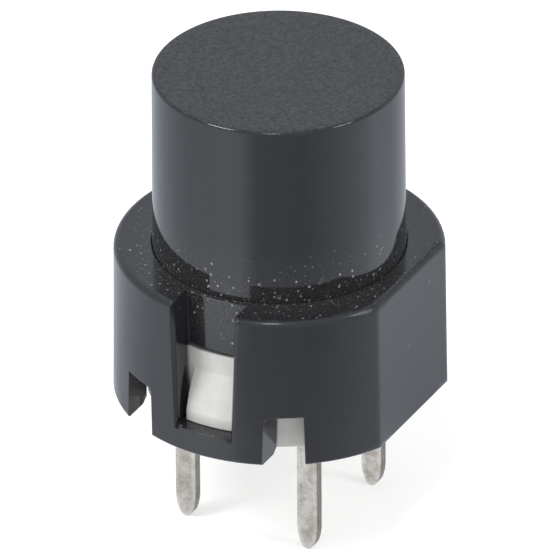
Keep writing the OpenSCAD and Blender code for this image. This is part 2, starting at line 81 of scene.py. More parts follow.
def make_camera():
    """A camera at the fitted place, turned so that AIM falls on AIM_PIXEL."""
    back = direction(VIEW_AZIMUTH, VIEW_ELEVATION)
    level = direction(VIEW_AZIMUTH + 90, 0)
    upright = back.cross(level)
    roll = math.radians(VIEW_ROLL)
    right = level * math.cos(roll) + upright * math.sin(roll)
    up = upright * math.cos(roll) - level * math.sin(roll)
    data = bpy.data.cameras.new("camera")
    camera = bpy.data.objects.new("camera", data)
    bpy.context.scene.collection.objects.link(camera)
    focal = VIEW_SCALE * VIEW_DISTANCE / MM
    data.sensor_width = SENSOR
    data.lens = focal * SENSOR / IMAGE
    data.clip_start, data.clip_end = CLIP_NEAR, CLIP_FAR
    middle = IMAGE / 2
    lean = Vector(((middle - AIM_PIXEL[0]) / focal, (AIM_PIXEL[1] - middle) / focal, -1))
    aim = Vector((0, 0, -1)).rotation_difference(lean).to_matrix()
    turn = Matrix((right, up, back)).transposed()
    camera.matrix_world = Matrix.Translation(AIM + back * VIEW_DISTANCE) @ (turn @ aim).to_4x4()
    bpy.context.scene.camera = camera


# ---- Sizes, from the CAD model ----

COVER_LOW, COVER_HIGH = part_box("cover")
CAP_LOW, CAP_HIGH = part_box("button_cap")
COVER_RISE = 0.11 * MM        # how much higher the real cover's top is than the solid's
COVER_TOP = COVER_HIGH.z + COVER_RISE
COVER_R = -COVER_LOW.x
FLAT_X = COVER_HIGH.x
CAP_R = CAP_HIGH.x
GUIDE_WALL = 0.3 * MM
GUIDE_WALL_R = CAP_R + GUIDE_WALL    # outside of the bore's wall, as it shows in a window
JAMB_X = 1.25 * MM            # the front window's right side


# ---- Node helpers ----

class Nodes:
    """A material's node tree, with short calls for the nodes that the finishes share."""

    def __init__(self, name):
        self.material = bpy.data.materials.new(name)
        self.material.use_nodes = True
        self.tree = self.material.node_tree
        self.tree.nodes.clear()
        self.out = self.tree.nodes.new("ShaderNodeOutputMaterial")
        self.place = self.tree.nodes.new("ShaderNodeTexCoord").outputs["Object"]

    def add(self, kind, settings=None, **inputs):
        """A node of this kind, with its settings, and its inputs set by name."""
        made = self.tree.nodes.new("ShaderNode" + kind)
        for key, value in (settings or {}).items():
            setattr(made, key, value)
        for key, value in inputs.items():
            self.put(made.inputs[key.replace("_", " ")], value)
        return made

    def put(self, socket, value):
        """Link an output to the socket, or set the socket's own value."""
        if isinstance(value, bpy.types.NodeSocket):
            self.tree.links.new(value, socket)
        else:
            socket.default_value = value

    def math(self, operation, first, second=0.0):
        """The result of one sum, such as ADD or MAXIMUM."""
        made = self.add("Math", {"operation": operation})
        self.put(made.inputs[0], first)
        self.put(made.inputs[1], second)
        return made.outputs[0]

    def stretched(self, x, y, z):
        """Object coordinates scaled by x, y and z, for a texture with a direction."""
        made = self.add("Mapping", Vector=self.place)
        made.inputs["Scale"].default_value = (x, y, z)
        return made.outputs[0]

    def noise(self, size, detail=2.0, rough=0.5, vector=None):
        """Noise with features about size metres across, from 0 to 1."""
        place = vector or self.place
        made = self.add("TexNoise", Vector=place, Scale=1 / size, Detail=detail, Roughness=rough)
        return made.outputs["Fac"]

    def remap(self, value, low, high, to_low=0.0, to_high=1.0):
        """The value's place from low to high, carried over to to_low to to_high and kept there."""
        made = self.add("MapRange", Value=value, From_Min=low, From_Max=high, To_Min=to_low,
                        To_Max=to_high)
        return made.outputs[0]

    def axis(self, name, vector=None):
        """One coordinate of the object's own place, or of a vector."""
        return self.add("SeparateXYZ", Vector=vector or self.place).outputs[name]

    def near_upright(self, x, y, reach):
        """1 within half of reach of the upright line through x and y, and 0 from reach on."""
        flat = self.add("VectorMath", {"operation": "MULTIPLY"})
        self.put(flat.inputs[0], self.place)
        flat.inputs[1].default_value = (1, 1, 0)
        gap = self.add("VectorMath", {"operation": "DISTANCE"})
        self.put(gap.inputs[0], flat.outputs[0])
        gap.inputs[1].default_value = (x, y, 0)
        return self.remap(gap.outputs["Value"], reach / 2, reach, 1, 0)

    def specks(self, pitch, share, radius):
        """Small round specks of many sizes, in a share of the cells of this pitch.

        radius is the largest speck's, as a part of the pitch.
        """
        cells = self.add("TexVoronoi", Vector=self.place, Scale=1 / pitch)
        chance = self.add("SeparateColor", Color=cells.outputs["Color"])
        held = self.remap(self.math("ADD", chance.outputs[0], share), 1.0, 1.02)
        size = self.remap(chance.outputs[1], 0, 1, radius * 0.45, radius)
        edge = self.math("SUBTRACT", size, cells.outputs["Distance"])
        shown = self.math("MULTIPLY", self.remap(edge, 0, radius * 0.4), held)
        return self.math("MULTIPLY", shown, self.remap(chance.outputs[2], 0, 1, 0.25, 1))

    def hairs(self, size, thinness, level):
        """Short fine fibres: thin contour lines of a noise, in patches, and at most this bright."""
        line = self.math("ABSOLUTE", self.math("SUBTRACT", self.noise(size, 1), 0.5))
        shown = self.remap(line, thinness, 0, 0, 1)
        patch = self.remap(self.noise(size * 1.7, 1, vector=self.stretched(1, 1.3, 0.8)), 0.62, 0.66)
        return self.math("MULTIPLY", self.math("MULTIPLY", shown, patch), level)

    def mix(self, factor, first, second):
        """The first colour where factor is 0, and the second where it is 1."""
        made = self.add("Mix", {"data_type": "RGBA"})
        self.put(made.inputs[0], factor)
        self.put(made.inputs[6], first)
        self.put(made.inputs[7], second)
        return made.outputs[2]

    def bump(self, height, depth, normal=None):
        """Bump of depth metres, on top of the normal where one is given."""
        made = self.add("Bump", Height=height, Distance=depth, Strength=1.0)
        if normal:
            self.put(made.inputs["Normal"], normal)
        return made.outputs[0]

    def finish(self, **inputs):
        """The material, with a principled shader that has these inputs."""
        shader = self.add("BsdfPrincipled")
        for key, value in inputs.items():
            self.put(shader.inputs[key.replace("_", " ")], value)
        self.tree.links.new(shader.outputs[0], self.out.inputs[0])
        return self.material


def grey(level, warmth=0.0):
    """A grey, warmer or colder by a share of its level."""
    return (level * (1 + warmth), level, level * (1 - warmth), 1)


# ---- Materials ----

SMOOTH_ANGLE = math.radians(30)
EDGE_SAMPLES = 6
SOFT_EDGE = 0.05 * MM         # radius that a moulding's edges catch light with
PLASTIC_IOR = 1.54

# Dust: drifts of coarse and fine specks, lint, and a fine grain. A speck's radius is in cells.
DUST_COLOUR = grey(0.5, 0.06)
DUST_ROUGH = 0.9
DRIFT_SIZE = 1.6 * MM
COARSE_PITCH, COARSE_RADIUS = 0.23 * MM, 0.29
FINE_PITCH, FINE_RADIUS, FINE_LEVEL = 0.15 * MM, 0.3, 0.34
LINT_SIZE, LINT_THIN, LINT_LEVEL = 0.7 * MM, 0.012, 0.4
DUST_GRAIN = 0.055 * MM

# Moulded plastic: sizes of its mottling, flow streaks, ripples and grain.
TINT_SIZE = 0.9 * MM
STREAK_SIZE = 0.25 * MM
SHEEN_SIZE = 1.4 * MM
RIPPLE_SIZE = 1.1 * MM
GRAIN_SIZE = 0.04 * MM

# A matte moulded face: its roughness and bump, and the colours painted on it: a painted glint on its
# lit points and painted shade in its hollows.
MATTE_ROUGH = 0.22
MATTE_SIZE, MATTE_DEPTH = 0.13 * MM, 0.010 * MM
PAINTED_GLINT_COLOUR = grey(0.040, -0.03)
PAINTED_HOLLOW_SHADE = grey(0.002)


def dusty(n, share, bloom):
    """How much dust covers each point: specks and lint by share, and a fine grain by bloom."""
    drift = n.remap(n.noise(DRIFT_SIZE, 2), 0.35, 0.65, 0.35, 1)
    share = n.math("MULTIPLY", share, drift)
    coarse = n.specks(COARSE_PITCH, share, COARSE_RADIUS)
    fine = n.specks(FINE_PITCH, n.math("MULTIPLY", share, 1.5), FINE_RADIUS)
    fibres = n.hairs(LINT_SIZE, LINT_THIN, LINT_LEVEL)
    lint = n.math("MULTIPLY", fibres, n.remap(share, 0.3, 0.6))
    grains = n.remap(n.noise(DUST_GRAIN, 3, 0.7), 0.45, 0.75)
    spots = n.math("MAXIMUM", coarse, n.math("MULTIPLY", fine, FINE_LEVEL))
    return n.math("MAXIMUM", n.math("MAXIMUM", spots, lint), n.math("MULTIPLY", grains, bloom))


def mottled(n, colour):
    """The colour with faint cloudy differences."""
    tint = n.remap(n.noise(TINT_SIZE, 5, 0.6), 0.3, 0.7, 0.92, 1.08)
    base = n.add("VectorMath", {"operation": "SCALE"}, Scale=tint)
    base.inputs[0].default_value = colour[:3]
    return base.outputs[0]


def flow_sheen(n, rough):
    """A roughness that varies slowly, with upright streaks from the flow of the plastic."""
    streaks = n.noise(STREAK_SIZE, 2, vector=n.stretched(1, 1, 0.12))
    slow = n.remap(n.noise(SHEEN_SIZE, 4), 0.3, 0.7, rough * 0.8, rough * 1.2)
    return n.math("ADD", slow, n.remap(streaks, 0.3, 0.7, -0.1 * rough, 0.1 * rough))


def moulded_plastic(name, colour, rough, ripple, grain, dust=None, edge=None, spark=None):
    """Moulded plastic: slow ripples of the mould, faint flow streaks, a fine grain and loose dust.

    Three functions of the nodes may vary it over the piece. dust gives how thick specks and
    grain lie. edge gives how round the edges are, and goes with a softer shine on the upper
    roundings. spark gives where the face is matte, with painted glints on its lit points and
    painted shade in its hollows.
    """
    n = Nodes(name)
    shade = mottled(n, colour)
    roughness = flow_sheen(n, rough)
    if dust:
        cover = dusty(n, *dust(n))
        shade = n.mix(cover, shade, DUST_COLOUR)
        roughness = n.math("MAXIMUM", roughness, n.math("MULTIPLY", cover, DUST_ROUGH))
    if edge:
        worn = n.math("MULTIPLY", upper_rounding(n), WORN_ROUGH)
        roughness = n.math("MAXIMUM", roughness, worn)
    rounded = n.add("Bevel", {"samples": EDGE_SAMPLES})
    n.put(rounded.inputs["Radius"], edge(n) if edge else SOFT_EDGE)
    normal = n.bump(n.noise(RIPPLE_SIZE, 1), ripple, rounded.outputs[0])
    normal = n.bump(n.noise(GRAIN_SIZE, 2), grain, normal)
    if spark:
        matte = spark(n)
        roughness = n.math("MAXIMUM", roughness, n.math("MULTIPLY", matte, MATTE_ROUGH))
        glint = n.noise(MATTE_SIZE, 2, 0.8)
        normal = n.bump(n.math("MULTIPLY", glint, matte), MATTE_DEPTH, normal)
        # painted glints and painted shade: the bump's high points take a light colour and its
        # hollows a dark one, as lamps would light them
        points = n.mix(n.remap(glint, 0.36, 0.64), PAINTED_HOLLOW_SHADE, PAINTED_GLINT_COLOUR)
        shade = n.mix(matte, shade, points)
    return n.finish(Base_Color=shade, Roughness=roughness, Normal=normal, IOR=PLASTIC_IOR)


# The cover's plastic, from place to place.
WORN_ROUGH = 0.16             # roughness of the upper roundings
TOP_DUST_REACH = 1.3 * MM     # from the rim inwards, to where the dust lies thickest
WINDOW_DUST = (2.4 * MM, 1.2 * MM)    # below the top, where it starts and is full
WALL_NEAR = (0.03 * MM, 0.01 * MM)    # outside the guide wall, where it starts and is full
PLAIN_EDGE_R = 0.07 * MM
FLAT_EDGE_R, FLAT_EDGE_REACH = 0.3 * MM, 1.2 * MM    # the edges beside the flat
JAMB_EDGE_R, JAMB_EDGE_REACH = 0.2 * MM, 0.7 * MM    # the window's right side

# The button's plastic: how far above the cover the dust starts and is full.
FOOT_DUST = (2.2 * MM, 0.2 * MM)


def upward(n):
    """1 where the surface faces up."""
    normal = n.add("NewGeometry").outputs["Normal"]
    return n.remap(n.axis("Z", normal), 0.6, 0.95)


def upper_rounding(n):
    """1 on the roundings between the walls and the top, which are worn to a softer shine."""
    rise = n.axis("Z", n.add("NewGeometry").outputs["Normal"])
    return n.math("MULTIPLY", n.remap(rise, 0.1, 0.3), n.remap(rise, 0.99, 0.93))


def cover_dust(n):
    """Dust lies on the cover's top, thickest next to the button, and in the windows."""
    across = n.add("VectorMath", {"operation": "MULTIPLY"})
    n.put(across.inputs[0], n.place)
    across.inputs[1].default_value = (1, 1, 0)
    radius = n.add("VectorMath", {"operation": "LENGTH"})
    n.put(radius.inputs[0], across.outputs[0])
    radius = radius.outputs["Value"]
    inner = n.remap(radius, COVER_R, COVER_R - TOP_DUST_REACH, 0.25, 1)
    top = n.math("MULTIPLY", upward(n), inner)
    wall = n.remap(radius, GUIDE_WALL_R + WALL_NEAR[0], GUIDE_WALL_R + WALL_NEAR[1])
    height = n.remap(n.axis("Z"), COVER_TOP - WINDOW_DUST[0], COVER_TOP - WINDOW_DUST[1])
    window = n.math("MULTIPLY", wall, height)
    share = n.math("MAXIMUM", n.math("MAXIMUM", top, n.math("MULTIPLY", window, 0.8)), 0.01)
    bloom = n.math("MAXIMUM", n.math("MULTIPLY", top, 0.13), n.math("MULTIPLY", window, 0.16))
    return share, bloom


def cover_edges(n):
    """The edges beside the flat and at the window's right side are rounder than the rest."""
    flat_edge_y = math.sqrt(COVER_R ** 2 - FLAT_X ** 2)
    front = n.near_upright(FLAT_X, -flat_edge_y, FLAT_EDGE_REACH)
    beside_flat = n.math("MAXIMUM", front, n.near_upright(FLAT_X, flat_edge_y, FLAT_EDGE_REACH))
    jamb_y = -math.sqrt(COVER_R ** 2 - JAMB_X ** 2)
    jamb = n.near_upright(JAMB_X, jamb_y, JAMB_EDGE_REACH)
    wide = n.math("MAXIMUM", n.math("MULTIPLY", beside_flat, FLAT_EDGE_R),
                  n.math("MULTIPLY", jamb, JAMB_EDGE_R))
    return n.math("MAXIMUM", wide, PLAIN_EDGE_R)


def cap_dust(n):
    """Dust clings to the lower part of the button, and a little to its top."""
    start, full = FOOT_DUST
    lower = n.remap(n.axis("Z"), COVER_TOP + start, COVER_TOP + full, 0.01, 1.0)
    top = upward(n)
    share = n.math("MAXIMUM", lower, n.math("MULTIPLY", top, 0.1))
    bloom = n.math("MAXIMUM", n.math("MULTIPLY", lower, 0.13), n.math("MULTIPLY", top, 0.06))
    return share, bloom


# Rolled metal: sizes of its blotches, film and lines, and the depths of the last two.
BLOTCH_SIZE = 0.5 * MM
FILM_SIZE, FILM_DEPTH = 0.12 * MM, 0.003 * MM
LINE_SIZE, LINE_DEPTH = 0.05 * MM, 0.002 * MM


def drawn_metal(name, bright, dull, rough, edge=SOFT_EDGE, punched=None):
    """Rolled metal: a mottled film between a bright and a dull tone, with fine lengthwise lines.

    punched is the tone of the sheared sides, which face along x.
    """
    n = Nodes(name)
    blotches = n.remap(n.noise(BLOTCH_SIZE, 4, 0.6), 0.38, 0.62)
    film = n.remap(n.noise(FILM_SIZE, 4, 0.7), 0.35, 0.65)
    lines = n.noise(LINE_SIZE, 3, vector=n.stretched(1, 1, 0.05))
    worn = n.math("ADD", n.math("MULTIPLY", blotches, 0.6), n.math("MULTIPLY", film, 0.4))
    shade = n.mix(worn, dull, bright)
    if punched:
        normal = n.axis("X", n.add("NewGeometry").outputs["Normal"])
        side = n.remap(n.math("ABSOLUTE", normal), 0.75, 0.9, 0, 0.85)
        shade = n.mix(side, shade, punched)
    polish = n.math("MULTIPLY", n.math("MULTIPLY", worn, lines), rough)
    streaked = n.math("SUBTRACT", rough * 1.3, polish)
    rounded = n.add("Bevel", {"samples": EDGE_SAMPLES}, Radius=edge).outputs[0]
    normal = n.bump(lines, LINE_DEPTH, rounded)
    normal = n.bump(film, FILM_DEPTH, normal)
    return n.finish(Base_Color=shade, Metallic=1.0, Roughness=streaked, Normal=normal)


def clear_amber(name):
    """Amber plastic that lets some light through."""
    n = Nodes(name)
    cloud = n.noise(CLOUD_SIZE, 3)
    shade = n.mix(n.remap(cloud, 0.3, 0.7), AMBER_DARK, AMBER_LIGHT)
    roughness = n.remap(cloud, 0.3, 0.7, 0.25, 0.35)
    return n.finish(Base_Color=shade, Roughness=roughness, Transmission_Weight=0.4)


# Colours of the plastics, and each metal's bright and dull tone.
BLACK_COLOUR = (0.0165, 0.0175, 0.020, 1)
DARK_COLOUR = (0.017, 0.017, 0.019, 1)
WHITE_COLOUR = (0.80, 0.795, 0.77, 1)
TIN_BRIGHT, TIN_DULL = (0.72, 0.655, 0.575, 1), (0.40, 0.34, 0.28, 1)
SHEARED_BRONZE = (0.20, 0.17, 0.13, 1)
# The pins' pressed borders are a lighter, smoother tin than the blades: the lighter tone is a
# painted highlight of the light that the borders catch.
HIGHLIT_BORDER_BRIGHT, HIGHLIT_BORDER_DULL = (0.74, 0.69, 0.61, 1), (0.50, 0.455, 0.39, 1)
SILVER_BRIGHT, SILVER_DULL = (0.80, 0.77, 0.72, 1), (0.66, 0.61, 0.54, 1)
STEEL_BRIGHT, STEEL_DULL = (0.58, 0.58, 0.60, 1), (0.42, 0.42, 0.43, 1)
AMBER_DARK, AMBER_LIGHT = (0.42, 0.2, 0.05, 1), (0.5, 0.26, 0.08, 1)
CLOUD_SIZE = 0.8 * MM         # of the amber's cloudiness

# Each plastic: colour, roughness, and the depths of its ripples and grain.
COVER_PLASTIC = moulded_plastic("cover_plastic", BLACK_COLOUR, 0.1, 0.004 * MM, 0.0004 * MM,
                                dust=cover_dust, edge=cover_edges)
# the cap's top is matte, with painted glints and painted shade in its grain
CAP_PLASTIC = moulded_plastic("cap_plastic", BLACK_COLOUR, 0.06, 0.002 * MM, 0.0002 * MM,
                              dust=cap_dust, spark=upward)
PLUNGER_PLASTIC = moulded_plastic("plunger_plastic", DARK_COLOUR, 0.4, 0.003 * MM, 0.002 * MM)
WHITE_PLASTIC = moulded_plastic("white_plastic", WHITE_COLOUR, 0.38, 0.004 * MM, 0.0008 * MM)
# Each metal: bright and dull tone, roughness, the radius of its edges, and its sheared sides' tone.
TINNED_BRONZE = drawn_metal("tinned_bronze", TIN_BRIGHT, TIN_DULL, 0.38, 0.03 * MM, SHEARED_BRONZE)
HIGHLIT_BORDER_TIN = drawn_metal("highlit_border_tin", HIGHLIT_BORDER_BRIGHT, HIGHLIT_BORDER_DULL, 0.34, 0.02 * MM)
SILVERED_BRONZE = drawn_metal("silvered_bronze", SILVER_BRIGHT, SILVER_DULL, 0.25)
SPRING_STEEL = drawn_metal("spring_steel", STEEL_BRIGHT, STEEL_DULL, 0.28)
AMBER_PLASTIC = clear_amber("amber_plastic")


# ---- Pieces ----

def made_piece(name, mesh, finish):
    """An object of that name from the bmesh, smooth up to SMOOTH_ANGLE."""
    data = bpy.data.meshes.new(name)
    mesh.to_mesh(data)
    mesh.free()
    piece = bpy.data.objects.new(name, data)
    bpy.context.scene.collection.objects.link(piece)
    data.materials.append(finish)
    data.shade_smooth()
    data.set_sharp_from_angle(angle=SMOOTH_ANGLE)
    return piece


# ---- Cover ----

SOLID_EDGE_R = 0.12 * MM      # the upper edge's rounding in the CAD model
SEEN_EDGE_R = 0.25 * MM       # and on the real cover
ON_EDGE = 0.01 * MM           # how far outside the rounding a point may lie and still be on it
EVEN_Z = 0.012 * MM           # how far apart in height the points of one row may lie
GUIDE_END_Z = 3.73 * MM       # lower end of the guide wall, as the windows show it
GUIDE_END_NEAR = 0.02 * MM    # how far from that height its points may lie
GUIDE_END_RISE = 0.1 * MM

# The front window's right side moves left by these amounts at its foot and its top. The wall beside
# it moves with it: in full from JAMB_FULL_X to JAMB_FADE_X, fading out to the start and the end.
JAMB_SHIFT = (0.10 * MM, 0.19 * MM)
JAMB_START_X, JAMB_FULL_X, JAMB_FADE_X, JAMB_END_X = 0.8 * MM, 1.2 * MM, 1.6 * MM, 2.2 * MM
JAMB_FRONT_Y = -4.4 * MM      # points further back, further in or lower down stay in place
JAMB_WALL_R = 4.8 * MM
JAMB_LOWEST_Z = 0.8 * MM
JAMB_FOOT_Z, JAMB_TOP_Z = 1 * MM, 5.9 * MM

# A corner of a face takes the rounding's own normal if that agrees with the face's at least so
# well, and if the corner lies at most so far below the rounding or, in its radii, inside it.
SAME_WAY = 0.6
BELOW_EDGE = 0.002 * MM
INSIDE_EDGE = -0.02
STRIP_RISE = (0.01, 0.9999)   # least and most that a face of the rounding looks up


def rounder(value, face):
    """Where a coordinate on the small edge rounding comes to lie on the larger one."""
    gap = face - value
    if gap < -ON_EDGE or gap > SOLID_EDGE_R + ON_EDGE:
        return value
    return face - gap * SEEN_EDGE_R / SOLID_EDGE_R


def between(value, low, high):
    """How far the value is from low to high, from 0 to 1."""
    return min(max((value - low) / (high - low), 0), 1)


def on_rounder_edge(x, y, z, top_r, top_flat_x):
    """A point near the top, moved from the solid's edge rounding to the higher and larger one."""
    turn = math.atan2(y, x)
    r = rounder(math.hypot(x, y), top_r)
    x, y = r * math.cos(turn), r * math.sin(turn)
    if x > top_flat_x - SOLID_EDGE_R - ON_EDGE:
        x = rounder(x, top_flat_x)
    return x, y, rounder(z, COVER_HIGH.z) + COVER_RISE


def beside_jamb(x, y, z):
    """True for a point of the outer wall next to the front window's right side."""
    on_wall = y < JAMB_FRONT_Y and math.hypot(x, y) > JAMB_WALL_R
    return on_wall and z > JAMB_LOWEST_Z and JAMB_START_X < x < JAMB_END_X


def seen_cover_point(point, top_r, top_flat_x):
    """A point of the solid cover, moved by the small differences of the real one."""
    x, y, z = point
    if z > COVER_HIGH.z - SOLID_EDGE_R - ON_EDGE:
        x, y, z = on_rounder_edge(x, y, z, top_r, top_flat_x)
    if abs(z - GUIDE_END_Z) < GUIDE_END_NEAR:
        z += GUIDE_END_RISE
    if beside_jamb(x, y, z):
        r = math.hypot(x, y)
        share = between(x, JAMB_START_X, JAMB_FULL_X) * between(x, JAMB_END_X, JAMB_FADE_X)
        low, high = JAMB_SHIFT
        x -= share * (low + (high - low) * between(z, JAMB_FOOT_Z, JAMB_TOP_Z))
        y = -math.sqrt(r ** 2 - x ** 2)
    return Vector((x, y, z))


def even_strips(mesh):
    """Turn the diagonals of the rounding's long thin faces, so that it has no hollows."""
    mesh.normal_update()
    low = COVER_TOP - SEEN_EDGE_R - ON_EDGE
    least, most = STRIP_RISE
    strips = [f for f in mesh.faces
              if least < f.normal.z < most and min(v.co.z for v in f.verts) > low]
    inner = set(strips)
    across = [e for e in mesh.edges if len(e.link_faces) == 2 and inner.issuperset(e.link_faces)]
    bmesh.ops.beautify_fill(mesh, faces=strips, edges=across, method="ANGLE")


def rounding_normal(point, face_normal, top_r, top_flat_x):
    """The true normal of the upper edge's rounding at a point, or zero away from it."""
    low = COVER_TOP - SEEN_EDGE_R
    best = Vector((0, 0, 0))
    if point.z < low - BELOW_EDGE:
        return best
    r = math.hypot(point.x, point.y)
    rise = (point.z - low) / SEEN_EDGE_R
    round_side = (Vector((point.x / r, point.y / r, 0)), r - top_r)
    flat_side = (Vector((1, 0, 0)), point.x - top_flat_x)
    for out, reach in (round_side, flat_side):
        run = reach / SEEN_EDGE_R + 1
        if run < INSIDE_EDGE:
            continue
        normal = (out * max(run, 0) + Vector((0, 0, rise))).normalized()
        if normal.dot(face_normal) > max(SAME_WAY, best.dot(face_normal)):
            best = normal
    return best


def set_rounding_normals(data, top_r, top_flat_x):
    """Even normals on the rounding, whose long thin faces would shade unevenly by themselves."""
    normals = [Vector((0, 0, 0))] * len(data.loops)
    for face in data.polygons:
        for i in face.loop_indices:
            point = data.vertices[data.loops[i].vertex_index].co
            normals[i] = rounding_normal(point, face.normal, top_r, top_flat_x)
    data.normals_split_custom_set(normals)


def make_cover():
    """The cover, with its upper edge and its front window's right side where they are seen."""
    mesh = bmesh.new()
    mesh.from_mesh(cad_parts["cover"].data)
    wall_z = COVER_HIGH.z - SOLID_EDGE_R
    rim = [v.co.copy() for v in mesh.verts if abs(v.co.z - wall_z) < EVEN_Z]
    top_r = max(math.hypot(p.x, p.y) for p in rim)
    top_flat_x = max(p.x for p in rim)
    for v in mesh.verts:
        v.co = seen_cover_point(v.co, top_r, top_flat_x)
    even_strips(mesh)
    cover = made_piece("rounded_cover", mesh, COVER_PLASTIC)
    set_rounding_normals(cover.data, top_r, top_flat_x)
    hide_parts("cover")
    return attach(cover, "housing")


# ---- Button ----

ROUND_STEPS = 192
CAP_WALL = 0.75 * MM
CAP_ROOF = 1.0 * MM
CAP_EDGE_R = 0.12 * MM
CAP_DRAFT = 0.04 * MM
CAP_TOP_SAG = 0.012 * MM
SAG_SHARES = (0.9, 0.7, 0.4, 0)       # of the top's radius, where its shallow dish has rings
SEAT_GAP = 0.03 * MM
FOOT_R = CAP_R + 0.025 * MM   # in the bore, which it nearly fills
FLARE = (0.1 * MM, 1.1 * MM)  # above the cover, where the wall starts and ends to narrow to CAP_R
NECK_RISE = 0.55 * MM         # above the cover, up to where the plunger is turned down
ON_AXIS = 1e-9                # nearer to the axis than this is on it
SAME_POINT = 1e-7             # nearer together than this is one point


def arc(x, z, radius, start, end, steps):
    """Points of an arc in the r, z plane, with its angles in degrees from outwards to up."""
    angles = [math.radians(start + (end - start) * i / steps) for i in range(steps + 1)]
    return [(x + radius * math.cos(a), z + radius * math.sin(a)) for a in angles]


def lathe(name, profile, finish):
    """The closed body that a profile of r, z points makes when it's turned round the axis."""
    mesh = bmesh.new()
    rings = []
    for r, z in profile:
        if r < ON_AXIS:
            rings.append([mesh.verts.new((0, 0, z))] * ROUND_STEPS)
            continue
        turns = [2 * math.pi * i / ROUND_STEPS for i in range(ROUND_STEPS)]
        rings.append([mesh.verts.new((r * math.cos(t), r * math.sin(t), z)) for t in turns])
    for low, high in zip(rings, rings[1:]):
        for i in range(ROUND_STEPS):
            j = (i + 1) % ROUND_STEPS
            corners = list(dict.fromkeys((low[i], low[j], high[j], high[i])))
            mesh.faces.new(corners)
    bmesh.ops.recalc_face_normals(mesh, faces=mesh.faces)
    return made_piece(name, mesh, finish)


def make_cap():
    """The button: a tall glossy cap whose straight wall runs down into the cover's bore."""
    top_r = CAP_R - CAP_DRAFT
    inner_r = CAP_R - CAP_WALL
    foot = CAP_LOW.z
    roof = CAP_HIGH.z - CAP_ROOF
    foot_round = arc(FOOT_R - CAP_EDGE_R, foot + CAP_EDGE_R, CAP_EDGE_R, -90, 0, 6)
    top_round = arc(top_r - CAP_EDGE_R, CAP_HIGH.z - CAP_EDGE_R, CAP_EDGE_R, 0, 90, 8)
    inner_round = arc(inner_r - CAP_EDGE_R, roof - CAP_EDGE_R, CAP_EDGE_R, 90, 0, 4)
    dish = [(top_r * share, CAP_HIGH.z - CAP_TOP_SAG * (1 - share ** 2)) for share in SAG_SHARES]
    wall = [(FOOT_R, COVER_TOP + FLARE[0]), (CAP_R, COVER_TOP + FLARE[1])]
    inside = [(0, roof)] + inner_round + [(inner_r, foot + SEAT_GAP)]
    profile = inside + foot_round + wall + top_round + dish
    cap = lathe("glossy_button_cap", profile, CAP_PLASTIC)
    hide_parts("button_cap")
    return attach(cap, "button")


def cut_away(piece, cutter):
    """Cut the cutter's body out of the piece, and remove the cutter."""
    cut = piece.modifiers.new("cut", "BOOLEAN")
    cut.operation = "DIFFERENCE"
    cut.solver = "EXACT"
    cut.object = cutter
    bpy.context.view_layer.update()
    seen = piece.evaluated_get(bpy.context.evaluated_depsgraph_get())
    result = bpy.data.meshes.new_from_object(seen)
    piece.modifiers.clear()
    piece.data = result
    bpy.data.objects.remove(cutter)
    result.shade_smooth()
    result.set_sharp_from_angle(angle=SMOOTH_ANGLE)


def make_plunger():
    """The plunger, turned down where the cap's wall passes round it."""
    mesh = bmesh.new()
    mesh.from_mesh(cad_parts["plunger"].data)
    bmesh.ops.remove_doubles(mesh, verts=mesh.verts, dist=SAME_POINT)
    plunger = made_piece("turned_plunger", mesh, PLUNGER_PLASTIC)
    inner_r = CAP_R - CAP_WALL - SEAT_GAP
    outer_r = CAP_R + CAP_WALL
    low = CAP_LOW.z - SEAT_GAP
    high = COVER_TOP + NECK_RISE
    square = [(inner_r, low), (outer_r, low), (outer_r, high), (inner_r, high), (inner_r, low)]
    cut_away(plunger, lathe("cutter", square, PLUNGER_PLASTIC))
    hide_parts("plunger")
    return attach(plunger, "button")


# ---- Solder pins ----

PIN_NODES = ("pin_front_left", "pin_front_right", "pin_rear_left", "pin_rear_right")
PIN_HALF = 0.41 * MM          # half the blade's width
PIN_THICK = 0.46 * MM
PIN_POINT = 1.0 * MM          # length of the rounded end
PIN_POINT_POWER = 0.95        # 1 is an ellipse, and less is blunter
PIN_COIN = 0.14 * MM          # the pressed border of each broad face, and its depth
PIN_COIN_DEEP = 0.045 * MM
PIN_END_STEPS = 18
BARB_INSET = 0.2              # of the border's width, round the barb and the tenon
BARB_HALF, BARB_Z = 0.55 * MM, 0.4 * MM
TENON_HALF, TENON_Z = 0.25 * MM, 0.7 * MM
BLADE_FINISH, HIGHLIT_BORDER_FINISH = 0, 1    # the pin's material slots


def pin_outline(low, high, inset):
    """The pin's outline in the x, z plane, inset in the blade by the pressed border."""
    small = inset * BARB_INSET
    half = PIN_HALF - inset
    tenon, barb = TENON_HALF - small, BARB_HALF - small
    upper, lower = TENON_Z - small, BARB_Z + small
    right = [(tenon, high), (tenon, upper), (barb, upper), (barb, lower), (half, lower)]
    end = []
    for i in range(PIN_END_STEPS + 1):
        turn = math.pi * i / PIN_END_STEPS
        x = half * math.copysign(abs(math.cos(turn)) ** PIN_POINT_POWER, math.cos(turn))
        end.append((x, low + PIN_POINT - (PIN_POINT - inset) * math.sin(turn)))
    return right + end + [(-x, z) for x, z in reversed(right)]


